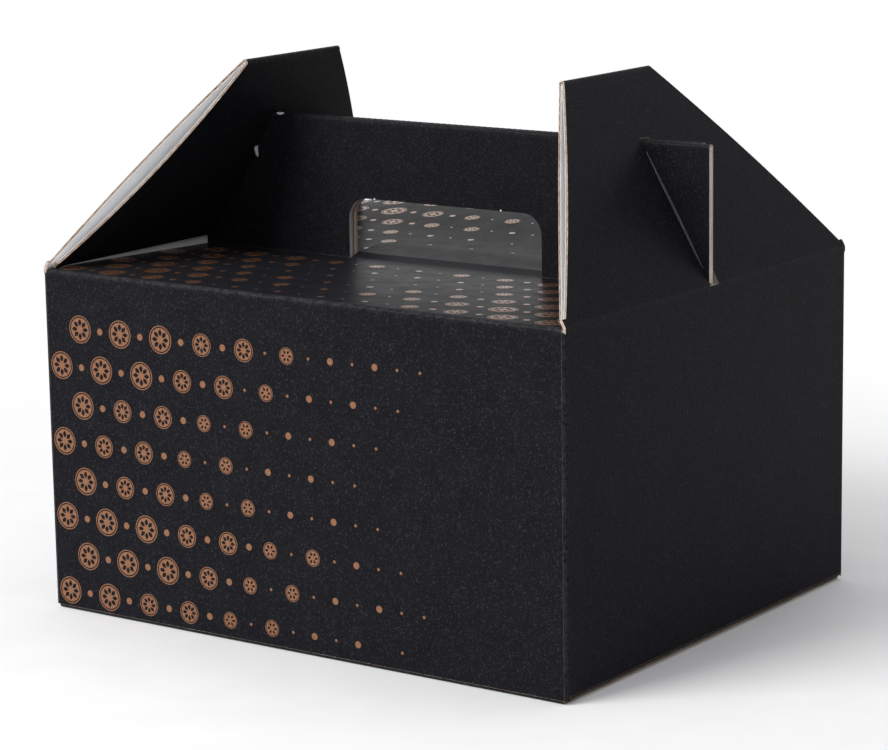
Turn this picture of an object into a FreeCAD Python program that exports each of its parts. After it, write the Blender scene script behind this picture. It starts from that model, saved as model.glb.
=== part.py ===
import FreeCAD, Part
import os
from math import cos, radians, sin, tan

from FreeCAD import Vector

os.makedirs("parts", exist_ok=True)

# Board
board = 1.6                  # thickness of the corrugated board
ply_gap = 0.2                # air between two plies that lie together
fold_inside_radius = 0.3     # inside radius of a creased fold
edge_clearance = 0.5         # from a cut edge to the wall beside it
crease_clearance = 0.3       # gap between an end wall and the flap hinged on it

# Carton, outside
carton_length = 305.0        # along X
carton_width = 254.0         # along Y
wall_height = 171.0          # base to top creases
fold_overlap = 1.0           # stretch of a folded strip that runs into its wall

# Bottom flaps and seam
bottom_meeting_gap = 1.0     # between the two outer bottom flaps
bottom_flap_setback = 2.5    # from the end walls' outsides to the outer bottom flaps' ends
inner_flap_length = 110.0    # from the end wall's outside
glue_tab_width = 30.0
glue_tab_slope = 12.0        # height of the slanted cut at each end of the glue tab
glue_tab_room = 8.0          # from the glue tab to the bottom flaps and to the top creases
seam_gap = 0.4               # slit at the glued corner, between the two walls that meet there

# Top panels and handle
panel_dip = 4.5              # fall of the top panels from their creases to the handle
handle_height = 66.0         # handle's top edge above the top creases
front_handle_length = 303.2  # front half of the handle, along X
rear_handle_length = 291.0   # rear half of the handle, cut shorter
inner_ply_lift = 0.5         # from the foot of the handle to its turned-down plies
grip_width = 116.0
grip_height = 27.0           # hole's top edge above the top creases
grip_corner_radius = 10.5

# Cut-out tabs of the grip hole
tab_length = 31.0            # from the handle's face to the far edge
tab_root = 4.0               # stretch of a tab inside its own panel
tab_bend_radius = 4.0
tab_gap = 0.3                # between a tab and the panel that it lies on
tab_side_gap = 0.4           # between a tab and the sides of the hole

# End flaps
right_flap_lean = 31.4       # degrees inwards from upright
left_flap_lean = 30.5
flap_length = 113.0          # crease to top fold
flap_top_width = 73.0
flap_corner_clearance = 0.5  # from the flap's lower corner to the face of the front wall
outer_bow = 2.0              # outer ply's bulge at half its length
right_inner_bow = 0.8        # inner plies' bulge at half their length
left_inner_bow = 4.5
slot_clearance = 0.3         # around the handle

# Divider inside
bottle_columns = 3
divider_clearance = 0.3      # between the divider's boards and what they meet

# Sizes that follow
half_length = carton_length / 2
half_width = carton_width / 2
fold_radius = fold_inside_radius + board
middle_radius = fold_inside_radius + board / 2
ply_pitch = board + ply_gap
handle_half = 2 * board + 1.5 * ply_gap
handle_foot = wall_height - panel_dip
handle_top = wall_height + handle_height
panel_half_length = half_length - board - edge_clearance
inner_floor = board + ply_pitch
same_point = 1e-6


def box(x0, x1, y0, y1, z0, z1):
    return Part.makeBox(x1 - x0, y1 - y0, z1 - z0, Vector(x0, y0, z0))


def line(start, end):
    return Part.LineSegment(start, end).toShape()


def arc(start, middle, end):
    return Part.Arc(start, middle, end).toShape()


def prism(points, direction):
    return Part.Face(Part.makePolygon(points + points[:1])).extrude(direction)


def mirror_x(shape):
    return shape.mirror(Vector(0, 0, 0), Vector(1, 0, 0))


def mirror_y(shape):
    return shape.mirror(Vector(0, 0, 0), Vector(0, 1, 0))


def fuse_all(shapes):
    return shapes[0].multiFuse(shapes[1:]).removeSplitter()


def rounded_rectangle(half_x, half_y, radius, z):
    """Face in a level plane, with all four corners rounded."""
    slab = box(-half_x, half_x, -half_y, half_y, z, z + board)
    upright = [e for e in slab.Edges if abs(e.tangentAt(e.FirstParameter).z) > 0.5]
    rounded = slab.makeFillet(radius, upright)
    return min(rounded.Faces, key=lambda face: face.CenterOfMass.z)


def path_left(way):
    """Unit vector to the left of a direction in the YZ plane."""
    return Vector(0, -way.z, way.y)


def offset_edges(points, radii, shift):
    """Edges beside a path in the YZ plane, some way to its left, with its corners rounded."""
    edges = []
    start = points[0] + path_left((points[1] - points[0]).normalize()) * shift
    for before, corner, after, radius in zip(points, points[1:], points[2:], radii):
        into = (corner - before).normalize()
        out = (after - corner).normalize()
        half_turn = into.getAngle(out) / 2
        inward = (out - into).normalize()
        turns_left = path_left(into).dot(inward) > 0
        centre = corner + inward * (radius / cos(half_turn))
        begin = corner - into * (radius * tan(half_turn)) + path_left(into) * shift
        finish = corner + out * (radius * tan(half_turn)) + path_left(out) * shift
        arc_radius = radius - shift if turns_left else radius + shift
        if begin.distanceToPoint(start) > same_point:
            edges.append(line(start, begin))
        edges.append(arc(begin, centre - inward * arc_radius, finish))
        start = finish
    end = points[-1] + path_left((points[-1] - points[-2]).normalize()) * shift
    edges.append(line(start, end))
    return edges


def folded_strip(points, radii, length):
    """Board whose middle line follows (y, z) points, centred on X = 0."""
    points = [Vector(-length / 2, y, z) for y, z in points]
    left = offset_edges(points, radii, board / 2)
    right = offset_edges(points, radii, -board / 2)
    near_end = line(left[0].Vertexes[0].Point, right[0].Vertexes[0].Point)
    far_end = line(left[-1].Vertexes[-1].Point, right[-1].Vertexes[-1].Point)
    outline = Part.Wire(Part.sortEdges(left + right + [near_end, far_end])[0])
    return Part.Face(outline).extrude(Vector(length, 0, 0))


def quarter_turn(shape):
    """The shape turned about Z, so that what lay towards -Y lies towards +X."""
    turned = shape.copy()
    turned.rotate(Vector(0, 0, 0), Vector(0, 0, 1), 90)
    return turned


def make_walls():
    """Four walls as one ring, low enough at each fold for the folded strips."""
    outside = rounded_rectangle(half_length, half_width, fold_radius, fold_radius)
    inside = rounded_rectangle(half_length - board, half_width - board, fold_inside_radius, fold_radius)
    height = wall_height - fold_radius
    ring = outside.extrude(Vector(0, 0, height)).cut(inside.extrude(Vector(0, 0, height)))
    upper_start = wall_height - fold_radius
    inner_start = inner_floor - board + fold_radius
    strip_end = half_width - fold_radius
    front_top = box(-half_length, half_length, -half_width, -strip_end, upper_start, wall_height)
    right_foot = box(half_length - fold_radius, half_length, -strip_end, strip_end, 0, inner_start)
    for cutter in (front_top, mirror_y(front_top), right_foot, mirror_x(right_foot)):
        ring = ring.cut(cutter)
    return ring


def make_outer_bottom_flap():
    wall_y = -half_width + board / 2
    path = [
        (-bottom_meeting_gap / 2, board / 2),
        (wall_y, board / 2),
        (wall_y, fold_radius + fold_overlap),
    ]
    return folded_strip(path, [middle_radius], carton_length - 2 * bottom_flap_setback)


def make_inner_bottom_flap():
    wall_y = -half_length + board / 2
    level = inner_floor - board / 2
    path = [
        (inner_flap_length - half_length, level),
        (wall_y, level),
        (wall_y, level + middle_radius + fold_overlap),
    ]
    width = carton_width - 2 * (fold_radius + edge_clearance)
    return quarter_turn(folded_strip(path, [middle_radius], width))


def make_glue_tab():
    """Tab folded from the rear wall, glued inside the left wall."""
    x = -half_length + board
    near = half_width - board
    far = near - glue_tab_width
    low = inner_floor + glue_tab_room
    high = wall_height - glue_tab_room
    corners = [
        Vector(x, near, low),
        Vector(x, far, low + glue_tab_slope),
        Vector(x, far, high - glue_tab_slope),
        Vector(x, near, high),
    ]
    return prism(corners, Vector(board, 0, 0))


def make_seam_corner():
    """Cut end of the left wall, square and level with the rear wall's outside."""
    start = half_width - fold_radius
    high = wall_height - fold_radius
    return box(-half_length, -half_length + board, start, half_width, fold_radius, high)


def make_seam_slit():
    """Slit through the rear wall, beside the left wall's cut end."""
    x = -half_length + board
    return box(x, x + seam_gap, half_width - board, half_width + board, 0, wall_height + board)


def panel_slope():
    return panel_dip / (half_width - handle_half)


def make_top_half(handle_length):
    """Front top panel and front half of the handle, with its ply turned down behind."""
    wall_y = -half_width + board / 2
    outer_y = -handle_half + board / 2
    top = handle_top - board / 2
    path = [
        (wall_y, wall_height - fold_radius - fold_overlap),
        (wall_y, wall_height - board / 2),
        (outer_y, handle_foot - board / 2),
        (outer_y, top),
        (outer_y + ply_pitch, top),
        (outer_y + ply_pitch, handle_foot + inner_ply_lift),
    ]
    radii = [middle_radius, middle_radius, ply_pitch / 2, ply_pitch / 2]
    strip = folded_strip(path, radii, carton_length)
    level = wall_height + crease_clearance
    for low, high, half in ((0, level, panel_half_length), (level, handle_top + board, handle_length / 2)):
        for x0, x1 in ((half, carton_length), (-carton_length, -half)):
            strip = strip.cut(box(x0, x1, -half_width, 0, low, high))
    return strip


def make_grip_hole():
    """Cutter through all four plies, down to the top panels, with rounded upper corners."""
    depth = handle_half + fold_radius
    top = wall_height + grip_height
    hole = box(-grip_width / 2, grip_width / 2, -depth, depth, handle_foot - fold_radius, top)
    upper = [e for e in hole.Edges if all(abs(v.Point.z - top) < same_point for v in e.Vertexes)]
    corners = [e for e in upper if abs(e.tangentAt(e.FirstParameter).y) > 0.5]
    return hole.makeFillet(grip_corner_radius, corners)


def make_tab(rise):
    """Cut-out of the front half, pushed back through the hole to lie against the rear panel."""
    root = handle_half + fold_radius + tab_root
    level = handle_foot - board / 2
    end = tab_length - handle_half
    path = [
        (-root, level + panel_slope() * (root - handle_half)),
        (-handle_half, level),
        (handle_half, level + rise),
        (end, level + rise + panel_slope() * (end - handle_half)),
    ]
    half = grip_width / 2 - tab_side_gap
    strip = folded_strip(path, [tab_bend_radius, tab_bend_radius], 2 * half)
    blank = box(-half, half, -root - board, end, handle_foot - half_width, handle_foot + half_width)
    far = [e for e in blank.Edges if all(abs(v.Point.y - end) < same_point for v in e.Vertexes)]
    corners = [e for e in far if abs(e.tangentAt(e.FirstParameter).z) > 0.5]
    return strip.common(blank.makeFillet(grip_corner_radius, corners))


def make_carton_body():
    hole = make_grip_hole()
    rise = board + tab_gap
    front_half = make_top_half(front_handle_length).cut(hole)
    rear_half = mirror_y(make_top_half(rear_handle_length)).cut(hole)
    outer_flap = make_outer_bottom_flap()
    inner_flap = make_inner_bottom_flap()
    walls = make_walls().fuse(make_seam_corner())
    return fuse_all([
        walls.cut(make_seam_slit()),
        make_glue_tab(),
        outer_flap,
        mirror_y(outer_flap),
        inner_flap,
        mirror_x(inner_flap),
        front_half,
        rear_half,
        make_tab(rise),
        mirror_y(make_tab(-rise)),
    ])


def make_flap_plies(place, inner_bow):
    """Both plies of an end flap, joined by their top fold, as wide as the carton."""
    turn = board + ply_gap / 2
    shoulder = flap_length - turn
    middle = shoulder / 2
    inner_face = -2 * turn
    low = -board
    outer_outside = arc(place(low, 0), place(middle, outer_bow), place(shoulder, 0))
    outer_inside = arc(place(shoulder, -board), place(middle, outer_bow - board), place(low, -board))
    inner_outside = arc(
        place(shoulder, inner_face),
        place(middle, inner_face - inner_bow),
        place(low, inner_face),
    )
    inner_inside = arc(
        place(low, inner_face + board),
        place(middle, inner_face + board - inner_bow),
        place(shoulder, inner_face + board),
    )
    fold_outside = arc(place(shoulder, 0), place(flap_length, -turn), place(shoulder, inner_face))
    fold_inside = arc(
        place(shoulder, inner_face + board),
        place(shoulder + ply_gap / 2, -turn),
        place(shoulder, -board),
    )
    inner_end = line(place(low, inner_face), place(low, inner_face + board))
    outer_end = line(place(low, -board), place(low, 0))
    outline = [
        outer_outside,
        fold_outside,
        inner_outside,
        inner_end,
        inner_inside,
        fold_inside,
        outer_inside,
        outer_end,
    ]
    return Part.Face(Part.Wire(outline)).extrude(Vector(0, carton_width, 0))


def make_flap_blank(place):
    """Trapezoid seen square to the flap, as a block that its plies are trimmed to."""
    foot = half_width - flap_corner_clearance
    slant = (foot - flap_top_width / 2) / flap_length
    reach = flap_length
    corners = []
    for along, side in ((-reach, -1), (flap_length + board, -1), (flap_length + board, 1), (-reach, 1)):
        point = place(along, -reach)
        corners.append(Vector(point.x, side * (foot - slant * along), point.z))
    return prism(corners, place(0, reach) - place(0, -reach))


def make_end_flap(lean_degrees, inner_bow):
    """End flap at the right end, above its crease, with the slot that hooks over the handle's end."""
    lean = radians(lean_degrees)

    def place(along, outward):
        """Point at the front edge, along the flap's straight line from crease to fold and outward from it."""
        x = half_length - along * sin(lean) + outward * cos(lean)
        z = wall_height + along * cos(lean) + outward * sin(lean)
        return Vector(x, -half_width, z)

    flap = make_flap_plies(place, inner_bow).common(make_flap_blank(place))
    below = wall_height + crease_clearance
    flap = flap.cut(box(0, carton_length, -half_width, half_width, 0, below))
    slot_half = handle_half + slot_clearance
    slot = box(0, carton_length, -slot_half, slot_half, 0, handle_top + slot_clearance)
    return flap.cut(slot)


def divider_half_length():
    return half_length - 2 * board - divider_clearance


def divider_floor():
    return inner_floor + divider_clearance


def divider_top():
    return handle_foot - board - divider_clearance


def divider_y():
    return (carton_width - 2 * board) / bottle_columns / 2


def make_long_divider():
    """Upright board along X, slotted from its right end to take the level board."""
    length = divider_half_length()
    y = divider_y()
    level = (divider_floor() + divider_top()) / 2
    half_slot = board / 2 + divider_clearance
    upright = box(-length, length, y - board / 2, y + board / 2, divider_floor(), divider_top())
    slot = box(-divider_clearance, length, y - board, y + board, level - half_slot, level + half_slot)
    return upright.cut(slot)


def make_layer_board():
    """Level board between the two layers of bottles, slotted from its left end."""
    length = divider_half_length()
    width = half_width - board - divider_clearance
    level = (divider_floor() + divider_top()) / 2
    half_slot = board / 2 + divider_clearance
    sheet = box(-length, length, -width, width, level - board / 2, level + board / 2)
    for y in (-divider_y(), divider_y()):
        sheet = sheet.cut(box(-length, 0, y - half_slot, y + half_slot, level - board, level + board))
    return sheet


rear_divider = make_long_divider()
nodes = {
    "carton_body": make_carton_body(),
    "right_end_flap": make_end_flap(right_flap_lean, right_inner_bow),
    "left_end_flap": mirror_x(make_end_flap(left_flap_lean, left_inner_bow)),
    "rear_divider": rear_divider,
    "front_divider": mirror_y(rear_divider),
    "layer_board": make_layer_board(),
}

for name, shape in nodes.items():
    print(name, "solids", len(shape.Solids), "valid", shape.isValid(), "volume", round(shape.Volume), "mm3")
    shape.exportStep("parts/" + name + ".step")
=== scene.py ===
import math

import bpy
import numpy as np
from mathutils import Matrix, Vector
from mathutils.geometry import delaunay_2d_cdt


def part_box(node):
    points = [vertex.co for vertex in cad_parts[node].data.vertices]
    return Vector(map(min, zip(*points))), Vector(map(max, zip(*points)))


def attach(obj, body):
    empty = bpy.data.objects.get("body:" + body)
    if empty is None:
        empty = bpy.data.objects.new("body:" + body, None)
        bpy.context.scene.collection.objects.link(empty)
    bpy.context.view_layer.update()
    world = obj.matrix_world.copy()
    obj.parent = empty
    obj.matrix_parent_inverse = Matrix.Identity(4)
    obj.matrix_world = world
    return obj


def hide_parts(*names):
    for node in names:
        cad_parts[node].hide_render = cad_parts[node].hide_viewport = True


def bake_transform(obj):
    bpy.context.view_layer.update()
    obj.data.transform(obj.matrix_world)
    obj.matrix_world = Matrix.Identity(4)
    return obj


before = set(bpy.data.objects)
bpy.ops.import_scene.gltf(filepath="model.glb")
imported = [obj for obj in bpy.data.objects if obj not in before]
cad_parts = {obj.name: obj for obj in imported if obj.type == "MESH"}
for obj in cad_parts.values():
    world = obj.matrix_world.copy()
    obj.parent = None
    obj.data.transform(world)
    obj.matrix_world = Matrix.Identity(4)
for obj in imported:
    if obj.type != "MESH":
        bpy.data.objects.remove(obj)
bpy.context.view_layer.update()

# Everything below is worked out in millimetres and written to the meshes in metres.
METRE = 0.001

# Board
BOARD = 1.6                # thickness
PAPER = 0.22               # thickness of each facing
MEDIUM_HALF = 0.09         # half the thickness of the fluted layer's paper
FLUTE_PITCH = 3.5
EDGE_DEPTH = 2.6           # how far the open flutes are modelled behind a cut edge
COLUMN = FLUTE_PITCH / 4   # mesh spacing across the flutes
PLY_GAP = 0.2
FOLD_INSIDE = 0.3
HALF_BOARD = BOARD / 2
MIDDLE_RADIUS = FOLD_INSIDE + HALF_BOARD
FOLD_RADIUS = FOLD_INSIDE + BOARD
PLY_PITCH = BOARD + PLY_GAP

# Carton, read from the frame where the frame holds it
carton_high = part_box("carton_body")[1]
HALF_LENGTH = carton_high.x / METRE
HALF_WIDTH = carton_high.y / METRE
HANDLE_TOP = carton_high.z / METRE
HANDLE_HEIGHT = 66.0
WALL_HEIGHT = HANDLE_TOP - HANDLE_HEIGHT
PANEL_DIP = 4.5
HANDLE_FOOT = WALL_HEIGHT - PANEL_DIP
HANDLE_HALF = 2 * BOARD + 1.5 * PLY_GAP
EDGE_ROOM = 0.5            # from a cut edge to the wall beside it
PANEL_HALF = HALF_LENGTH - BOARD - EDGE_ROOM
FRONT_HANDLE_HALF = 151.6
REAR_HANDLE_HALF = 145.5
INNER_PLY_LIFT = 0.5
CREASE_GAP = 0.3
BOTTOM_SETBACK = 2.5       # from the end walls' outsides to the outer bottom flaps' ends
BOTTOM_MEETING_HALF = 0.5  # half the gap where the outer bottom flaps meet
INNER_BOTTOM_LENGTH = 110.0
GLUE_TAB_WIDTH = 30.0
GLUE_TAB_SLOPE = 12.0
GLUE_TAB_ROOM = 8.0

# Grip hole and its tabs
GRIP_HALF = 58.0
GRIP_TOP = WALL_HEIGHT + 26.2
GRIP_RADIUS = 10.5
TAB_LENGTH = 31.0
TAB_END = TAB_LENGTH - HANDLE_HALF
TAB_HALF = GRIP_HALF - 0.4
TAB_RISE = BOARD + 0.3
TAB_SPRING = 1.6           # how far the far edge of the front half's tab stands off the rear panel
TAB_BEND_RADIUS = 4.0
TAB_MARGIN = 0.15          # outside a tab's outline, within the slit round it
REAR_CREASE_BOW = 5.4      # rise of the rear top crease at half its length
REAR_BOW_SPREAD = 45.0     # how far from the crease the rise dies away

# End flaps
FLAP_LENGTH = 113.0
FLAP_TOP_HALF = 36.5
FLAP_FOOT_HALF = HALF_WIDTH - EDGE_ROOM
FLAP_LEAN = {"right": 31.4, "left": 30.5}
OUTER_BOW = 2.0
INNER_BOW = {"right": 0.8, "left": 4.5}
OUTER_FOOT = 1.1           # from the crease to the modelled foot of each ply
INNER_FOOT = 3.0
SLOT_ROOM = 0.3
SLOT_HALF = HANDLE_HALF + SLOT_ROOM
SLOT_TOP = HANDLE_TOP + SLOT_ROOM

# Surface relief
WASHBOARD = 0.018          # depth of the ribs that show through the facings
CRUSH = 0.09               # depth of the ribs beside a flattened fold
CRUSH_REACH = 4.5
FLAP_CRUSH = 0.3 * CRUSH   # at the end flaps' top folds
FLAP_CRUSH_REACH = 4.0
RIB_GAP = 2.0              # round a crease, where no ribs show
PAPER_WAVES = 0.12         # slow unevenness of a panel
WAVE_GAP = 9.0             # round a crease, where the paper doesn't wave
CREASE_WEAR = 0.9          # how far wear reaches from a crease
HANDLE_WEAR = 0.35         # wear of the handle's top folds, as a share of the other creases' wear

# Material slots of a board
PRINT, LINER, PRINT_EDGE, LINER_EDGE, KRAFT = range(5)


def smooth(value, low, high):
    t = np.clip((value - low) / (high - low), 0.0, 1.0)
    return t * t * (3 - 2 * t)


class Path:
    """Middle line of a folded sheet in its own plane. at holds each point's distance along it."""

    def __init__(self, points, folds=()):
        self.points = np.array(points, float)
        steps = np.linalg.norm(np.diff(self.points, axis=0), axis=1)
        self.at = np.concatenate([[0.0], np.cumsum(steps)])
        ways = np.gradient(self.points, self.at, axis=0)
        ways /= np.linalg.norm(ways, axis=1)[:, None]
        self.left = np.stack([-ways[:, 1], ways[:, 0]], axis=1)
        self.length = self.at[-1]
        self.folds = [self.nearest(fold) for fold in folds]

    def place(self, along, offset):
        x = np.interp(along, self.at, self.points[:, 0])
        y = np.interp(along, self.at, self.points[:, 1])
        left_x = np.interp(along, self.at, self.left[:, 0])
        left_y = np.interp(along, self.at, self.left[:, 1])
        size = np.hypot(left_x, left_y)
        return x + left_x / size * offset, y + left_y / size * offset

    def nearest(self, point):
        """Distance along the path of the spot nearest to a point."""
        start = self.points[:-1]
        run = self.points[1:] - start
        share = np.einsum("ij,ij->i", np.array(point) - start, run) / np.einsum("ij,ij->i", run, run)
        share = np.clip(share, 0, 1)
        gap = np.linalg.norm(start + run * share[:, None] - np.array(point), axis=1)
        best = int(np.argmin(gap))
        return self.at[best] + share[best] * (self.at[best + 1] - self.at[best])


def rounded_path(corners, radii, step=12.0, arc_steps=6):
    """Path through corners that are rounded, with its points close together round each fold."""
    corners = [np.array(corner, float) for corner in corners]
    points = [corners[0]]
    folds = []
    for before, corner, after, radius in zip(corners, corners[1:], corners[2:], radii):
        into = (corner - before) / np.linalg.norm(corner - before)
        out = (after - corner) / np.linalg.norm(after - corner)
        half_turn = math.acos(np.clip(into @ out, -1, 1)) / 2
        inward = (out - into) / np.linalg.norm(out - into)
        centre = corner + inward * radius / math.cos(half_turn)
        begin = corner - into * radius * math.tan(half_turn)
        finish = corner + out * radius * math.tan(half_turn)
        points += straight(points[-1], begin, step)
        for i in range(1, arc_steps):
            turn = half_turn * (2 * i / arc_steps - 1)
            points.append(centre - inward * radius * math.cos(turn) + (into + out)
                          / np.linalg.norm(into + out) * radius * math.sin(turn))
        points.append(finish)
        folds.append(corner)
    points += straight(points[-1], corners[-1], step)
    return Path(points, folds)


def straight(start, end, step):
    """Points after start on the way to end, with one close to each end of a long run."""
    length = np.linalg.norm(end - start)
    if length < 1e-6:
        return []
    count = max(1, round(length / step))
    shares = [i / count for i in range(1, count + 1)]
    if length > step:
        shares = [1.5 / length] + shares[:-1] + [1 - 1.5 / length, 1.0]
    return [start + (end - start) * share for share in shares]


def arc_points(centre, radius, start, end, count=8):
    """Points on an arc, angles in degrees."""
    angles = np.radians(np.linspace(start, end, count + 1))
    return [(centre[0] + radius * math.cos(a), centre[1] + radius * math.sin(a)) for a in angles]


# Flat blanks


def signed_area(outline):
    outline = np.array(outline)
    following = np.roll(outline, -1, axis=0)
    return 0.5 * np.sum(outline[:, 0] * following[:, 1] - following[:, 0] * outline[:, 1])


def inside(points, outlines):
    """Even-odd test of points against closed outlines."""
    within = np.zeros(len(points), bool)
    for outline in outlines:
        outline = np.array(outline)
        for (x0, y0), (x1, y1) in zip(outline, np.roll(outline, -1, axis=0)):
            if y0 == y1:
                continue
            crosses = (points[:, 1] >= min(y0, y1)) & (points[:, 1] < max(y0, y1))
            x = x0 + (points[:, 1] - y0) / (y1 - y0) * (x1 - x0)
            within ^= crosses & (points[:, 0] < x)
    return within


def clearance(points, outlines):
    """Distance from each point to the nearest outline."""
    nearest = np.full(len(points), np.inf)
    for outline in outlines:
        outline = np.array(outline)
        for start, end in zip(outline, np.roll(outline, -1, axis=0)):
            run = end - start
            share = np.clip(((points - start) @ run) / (run @ run), 0, 1)
            nearest = np.minimum(nearest, np.linalg.norm(start + share[:, None] * run - points, axis=1))
    return nearest


def split_outline(outline, columns, rows):
    """The outline with a point wherever it crosses a column or a row of the grid."""
    result = []
    for start, end in zip(outline, np.roll(np.array(outline), -1, axis=0)):
        start = np.array(start, float)
        run = np.array(end, float) - start
        length = np.linalg.norm(run)
        if length < 1e-7:
            continue
        shares = [0.0]
        for axis, lines in ((0, columns), (1, rows)):
            if abs(run[axis]) > 1e-7:
                at = (lines - start[axis]) / run[axis]
                shares += list(at[(at > 0) & (at < 1)])
        least = 0.12 / length
        kept = 0.0
        result.append(tuple(start))
        for share in sorted(shares):
            if share - kept > least and 1 - share > least:
                result.append(tuple(start + run * share))
                kept = share
    return result


class Blank:
    """A flat sheet cut to outlines, the first of them its outside, and filled with a grid."""

    def __init__(self, outlines, columns, rows):
        columns = np.array(columns, float)
        rows = np.array(rows, float)
        turned = []
        for i, outline in enumerate(outlines):
            wants_left_turn = i == 0
            if (signed_area(outline) > 0) != wants_left_turn:
                outline = outline[::-1]
            turned.append(outline)
        borders = [split_outline(outline, columns, rows) for outline in turned]
        grid = np.stack(np.meshgrid(columns, rows), axis=-1).reshape(-1, 2)
        grid = grid[inside(grid, turned)]
        grid = grid[clearance(grid, turned) > 0.1]
        edges = []
        given = []
        for border in borders:
            first = len(given)
            given += border
            count = len(border)
            edges += [(first + i, first + (i + 1) % count) for i in range(count)]
        border_count = len(given)
        given = [Vector(p) for p in given] + [Vector(p) for p in grid.tolist()]
        found = delaunay_2d_cdt(given, edges, [], 0, 1e-6)
        self.points = np.array([tuple(p) for p in found[0]])
        triangles = np.array([f for f in found[2] if len(f) == 3])
        middles = self.points[triangles].mean(axis=1)
        triangles = triangles[inside(middles, turned)]
        a, b, c = (self.points[triangles[:, i]] for i in range(3))
        cross = (b[:, 0] - a[:, 0]) * (c[:, 1] - a[:, 1]) - (b[:, 1] - a[:, 1]) * (c[:, 0] - a[:, 0])
        triangles[cross < 0] = triangles[cross < 0][:, ::-1]
        self.triangles = triangles[np.abs(cross) > 1e-9]
        new_index = {}
        for index, sources in enumerate(found[3]):
            for source in sources:
                if source < border_count:
                    new_index[source] = index
        self.loops = []
        first = 0
        for border in borders:
            self.loops.append(np.array([new_index[first + i] for i in range(len(border))]))
            first += len(border)

    def inset(self, loop, depth):
        """The loop's points moved into the sheet."""
        points = self.points[loop]
        run = np.roll(points, -1, axis=0) - points
        run /= np.maximum(np.linalg.norm(run, axis=1), 1e-9)[:, None]
        normal = np.stack([-run[:, 1], run[:, 0]], axis=1)
        both = normal + np.roll(normal, 1, axis=0)
        both /= np.maximum(np.linalg.norm(both, axis=1), 1e-9)[:, None]
        lean = np.maximum(np.einsum("ij,ij->i", both, normal), 0.6)
        return points + both / lean[:, None] * depth


class Piece:
    """Collects the vertices and faces of one piece of the object."""

    def __init__(self, name, place, wear=None):
        self.name = name
        self.place = place
        self.wear = wear or (lambda u, v: np.zeros(len(u)))
        self.points = []
        self.wears = []
        self.faces = []
        self.materials = []
        self.count = 0
        self.flipped = self.mirrors()

    def mirrors(self):
        """True where the fold turns the sheet's face over."""
        u = np.array([0.0, 0.1, 0.0, 0.0]) + 3.0
        v = np.array([0.0, 0.0, 0.1, 0.0]) + 20.0
        w = np.array([0.0, 0.0, 0.0, 0.1])
        at = self.place(u, v, w)
        return np.dot(np.cross(at[1] - at[0], at[2] - at[0]), at[3] - at[0]) < 0

    def add_points(self, flat, offset):
        offset = np.broadcast_to(np.asarray(offset, float), (len(flat),))
        self.points.append(self.place(flat[:, 0], flat[:, 1], offset))
        self.wears.append(self.wear(flat[:, 0], flat[:, 1]))
        first = self.count
        self.count += len(flat)
        return np.arange(first, self.count)

    def add_faces(self, faces, material):
        if self.flipped:
            faces = faces[:, ::-1]
        self.faces += faces.tolist()
        self.materials += [material] * len(faces)

    def add_band(self, upper, lower, material):
        """Faces between two rings of vertices that go round the same loop."""
        quads = np.stack([upper, lower, np.roll(lower, -1), np.roll(upper, -1)], axis=1)
        self.add_faces(quads, material)

    def add_board(self, blank):
        """Both facings, and the open flutes behind every cut edge."""
        top = self.add_points(blank.points, HALF_BOARD)
        bottom = self.add_points(blank.points, -HALF_BOARD)
        self.add_faces(top[blank.triangles], PRINT)
        self.add_faces(bottom[blank.triangles][:, ::-1], LINER)
        under = HALF_BOARD - PAPER
        for loop in blank.loops:
            edge = blank.points[loop]
            back = blank.inset(loop, EDGE_DEPTH)
            rings = [
                top[loop],
                self.add_points(edge, under),
                self.add_points(back, under),
                self.add_points(back, -under),
                self.add_points(edge, -under),
                bottom[loop],
            ]
            kinds = [PRINT_EDGE, KRAFT, KRAFT, LINER, LINER_EDGE]
            for upper, lower, kind in zip(rings, rings[1:], kinds):
                self.add_band(upper, lower, kind)
            self.add_flutes(blank, loop, under)

    def add_flutes(self, blank, loop, under):
        """The fluted layer between the facings, as a closed ribbon along one cut edge."""
        swing = under - MEDIUM_HALF
        depths = (0.06, 0.9, 1.75, EDGE_DEPTH)
        upper = []
        lower = []
        for depth in depths:
            flat = blank.inset(loop, depth)
            wave = swing * np.sin(2 * np.pi * flat[:, 0] / FLUTE_PITCH)
            upper.append(self.add_points(flat, wave + MEDIUM_HALF))
            lower.append(self.add_points(flat, wave - MEDIUM_HALF))
        rings = upper + lower[::-1]
        for first, second in zip(rings, rings[1:] + rings[:1]):
            self.add_band(second, first, KRAFT)

    def add_slab(self, blank, low, high, kinds=(0, 0, 0), at=(0.0, 0.0)):
        """A closed layer such as ink, with the materials of its top, bottom and edge."""
        top = self.add_points(blank.points + np.array(at), high)
        bottom = self.add_points(blank.points + np.array(at), low)
        self.add_faces(top[blank.triangles], kinds[0])
        self.add_faces(bottom[blank.triangles][:, ::-1], kinds[1])
        for loop in blank.loops:
            self.add_band(top[loop], bottom[loop], kinds[2])

    def finish(self, materials, sharp_angle=38.0):
        mesh = bpy.data.meshes.new(self.name)
        points = np.concatenate(self.points) * METRE
        mesh.from_pydata(points.tolist(), [], self.faces)
        for material in materials:
            mesh.materials.append(material)
        mesh.polygons.foreach_set("material_index", np.array(self.materials, np.int32))
        mesh.polygons.foreach_set("use_smooth", np.ones(len(self.faces), bool))
        wear = mesh.attributes.new("wear", "FLOAT", "POINT")
        wear.data.foreach_set("value", np.concatenate(self.wears).astype(np.float32))
        mesh.update()
        mesh.set_sharp_from_angle(angle=math.radians(sharp_angle))
        obj = bpy.data.objects.new(self.name, mesh)
        bpy.context.scene.collection.objects.link(obj)
        return obj


# Folded shapes


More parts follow.
